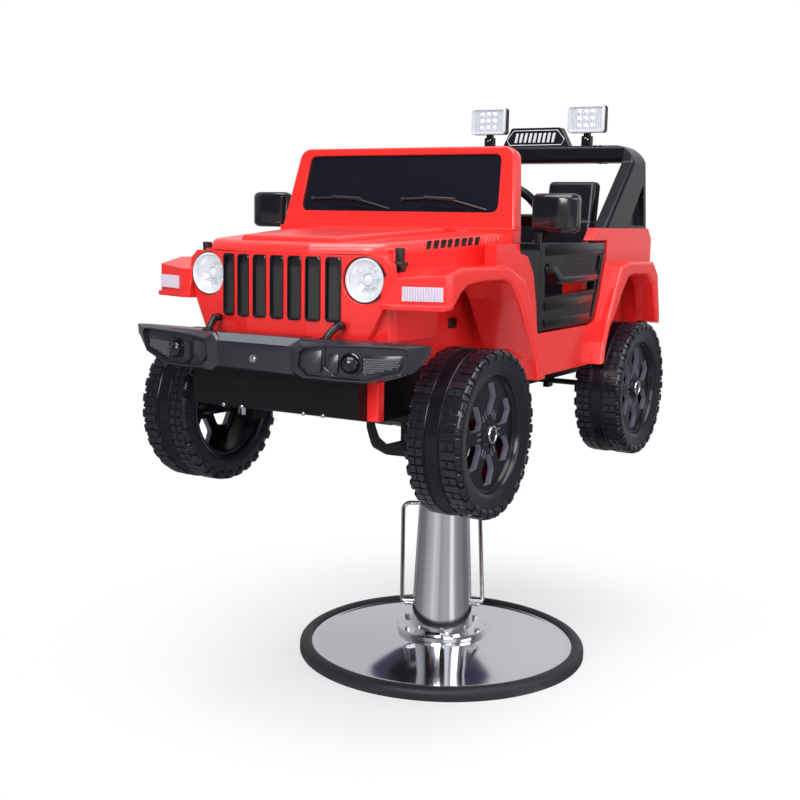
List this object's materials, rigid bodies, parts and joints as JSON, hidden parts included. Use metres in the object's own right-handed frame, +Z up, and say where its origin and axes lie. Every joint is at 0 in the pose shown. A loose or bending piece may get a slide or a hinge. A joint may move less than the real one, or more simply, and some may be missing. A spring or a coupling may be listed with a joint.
{
  "type": "kids barber chair",
  "caption": "Toy off-road car on a chromed hydraulic barber pedestal with a round base; its wheels, doors, steering, mirrors, lamps, lift and pedal move.",
  "frame": {"origin": "middle of the round base's underside, on the floor and on the column's axis", "axes": "+Z up along the column; the car looks along -Y, so its left side, with the steering wheel, is +X"},
  "size_m": [0.704, 1.162, 1.159],
  "materials": {
    "polished_chrome": "mirror polished",
    "bright_steel": "satin zinc plated",
    "floor_ring_rubber": "matte",
    "cradle_paint": "satin black",
    "tyre_plastic": "moulded satin black",
    "rim_plastic": "moulded dark grey",
    "black_plastic": "moulded satin black",
    "gloss_black_plastic": "gloss black",
    "red_plastic": "gloss red",
    "lamp_bowl": "metallised plastic",
    "clear_lens": "clear moulded lens",
    "marker_lens": "ribbed clear lens on white",
    "dark_screen": "near black tinted panel",
    "latch_rubber": "matte",
    "tail_lens": "gloss dark red lens"
  },
  "bodies": {
    "base": {"ballast_plate": "bright_steel", "base_ring": "floor_ring_rubber", "base_dish": "polished_chrome", "pump_flange": "polished_chrome", "flange_bolts": "bright_steel", "pump_cylinder": "bright_steel", "pump_gland": "bright_steel", "column_cover": "polished_chrome", "pedal_bosses": "bright_steel"},
    "pedal": {"pump_pedal": "bright_steel"},
    "ram": {"lift_ram": "polished_chrome"},
    "car": {"swivel_hub": "cradle_paint", "cradle_box": "cradle_paint", "cradle_arms": "cradle_paint", "front_axle_beam": "cradle_paint", "rear_axle": "bright_steel", "chassis_pan": "black_plastic", "body_tub": "red_plastic", "engine_bay": "red_plastic", "hood": "red_plastic", "grille_panel": "red_plastic", "grille_inserts": "gloss_black_plastic", "headlamp_buckets": "lamp_bowl", "headlamp_lenses": "clear_lens", "front_fenders": "red_plastic", "rear_fenders": "red_plastic", "fender_lamps": "marker_lens", "front_bumper": "black_plastic", "fog_lamps": "gloss_black_plastic", "tow_hooks": "black_plastic", "hood_latches": "latch_rubber", "windshield_frame": "red_plastic", "windshield_panel": "dark_screen", "dashboard": "black_plastic", "steering_column": "black_plastic", "seat_shell": "black_plastic", "roll_bar": "black_plastic", "sign_board": "gloss_black_plastic", "spot_posts": "black_plastic", "rear_bumper": "black_plastic", "tail_lamps": "tail_lens"},
    "steering": {"steering_wheel": "black_plastic"},
    "door_left": {"door_left": "black_plastic"},
    "door_right": {"door_right": "black_plastic"},
    "mirror_left": {"mirror_left": "gloss_black_plastic"},
    "mirror_right": {"mirror_right": "gloss_black_plastic"},
    "spot_left": {"spot_lamp_left": "black_plastic", "spot_lens_left": "clear_lens"},
    "spot_right": {"spot_lamp_right": "black_plastic", "spot_lens_right": "clear_lens"},
    "knuckle_left": {"knuckle_left": "bright_steel"},
    "knuckle_right": {"knuckle_right": "bright_steel"},
    "wheel_front_left": {"tyre_front_left": "tyre_plastic", "rim_front_left": "rim_plastic"},
    "wheel_front_right": {"tyre_front_right": "tyre_plastic", "rim_front_right": "rim_plastic"},
    "wheel_rear_left": {"tyre_rear_left": "tyre_plastic", "rim_rear_left": "rim_plastic"},
    "wheel_rear_right": {"tyre_rear_right": "tyre_plastic", "rim_rear_right": "rim_plastic"}
  },
  "joints": [
    {"name": "pedal_hinge", "type": "hinge", "parent": "base", "child": "pedal", "pos_m": [0, 0, 0.102], "axis": [0.8634, 0.5045, 0], "range_deg": [-38, 0], "stiffness_Nm_per_rad": 4, "springref_deg": 20.05},
    {"name": "lift", "type": "slide", "parent": "base", "child": "ram", "axis": [0, 0, 1], "range_m": [-0.05, 0.1]},
    {"name": "swivel", "type": "hinge", "parent": "ram", "child": "car", "pos_m": [0, 0, 0.418], "axis": [0, 0, 1], "continuous": true},
    {"name": "steering", "type": "hinge", "parent": "car", "child": "steering", "pos_m": [0.125, 0, 0.903], "axis": [0, 0.8829, 0.4695], "range_deg": [-90, 90]},
    {"name": "kingpin_left", "type": "hinge", "parent": "car", "child": "knuckle_left", "pos_m": [0.196, -0.423, 0.554], "axis": [0, 0, 1], "range_deg": [-15, 15]},
    {"name": "kingpin_right", "type": "hinge", "parent": "car", "child": "knuckle_right", "pos_m": [-0.196, -0.423, 0.554], "axis": [0, 0, 1], "range_deg": [-15, 15]},
    {"name": "wheel_front_left", "type": "hinge", "parent": "knuckle_left", "child": "wheel_front_left", "pos_m": [0.273, -0.423, 0.554], "axis": [1, 0, 0], "continuous": true},
    {"name": "wheel_front_right", "type": "hinge", "parent": "knuckle_right", "child": "wheel_front_right", "pos_m": [-0.273, -0.423, 0.554], "axis": [1, 0, 0], "continuous": true},
    {"name": "wheel_rear_left", "type": "hinge", "parent": "car", "child": "wheel_rear_left", "pos_m": [0.273, 0.275, 0.554], "axis": [1, 0, 0], "continuous": true},
    {"name": "wheel_rear_right", "type": "hinge", "parent": "car", "child": "wheel_rear_right", "pos_m": [-0.273, 0.275, 0.554], "axis": [1, 0, 0], "continuous": true},
    {"name": "door_left", "type": "hinge", "parent": "car", "child": "door_left", "pos_m": [0.254, -0.141, 0.78], "axis": [0, 0, 1], "range_deg": [-70, 0]},
    {"name": "mirror_left", "type": "hinge", "parent": "car", "child": "mirror_left", "pos_m": [0.278, -0.19, 0.89], "axis": [0, 0, 1], "range_deg": [0, 45]},
    {"name": "spot_left", "type": "hinge", "parent": "car", "child": "spot_left", "pos_m": [0.121, 0.411, 1.085], "axis": [1, 0, 0], "range_deg": [-20, 20]},
    {"name": "door_right", "type": "hinge", "parent": "car", "child": "door_right", "pos_m": [-0.254, -0.141, 0.78], "axis": [0, 0, 1], "range_deg": [0, 70]},
    {"name": "mirror_right", "type": "hinge", "parent": "car", "child": "mirror_right", "pos_m": [-0.278, -0.19, 0.89], "axis": [0, 0, 1], "range_deg": [-45, 0]},
    {"name": "spot_right", "type": "hinge", "parent": "car", "child": "spot_right", "pos_m": [-0.121, 0.411, 1.085], "axis": [1, 0, 0], "range_deg": [-20, 20]}
  ],
  "couplings": [
    {"joint": "kingpin_left", "follows": "steering", "ratio": 0.16667},
    {"joint": "kingpin_right", "follows": "steering", "ratio": 0.16667}
  ]
}
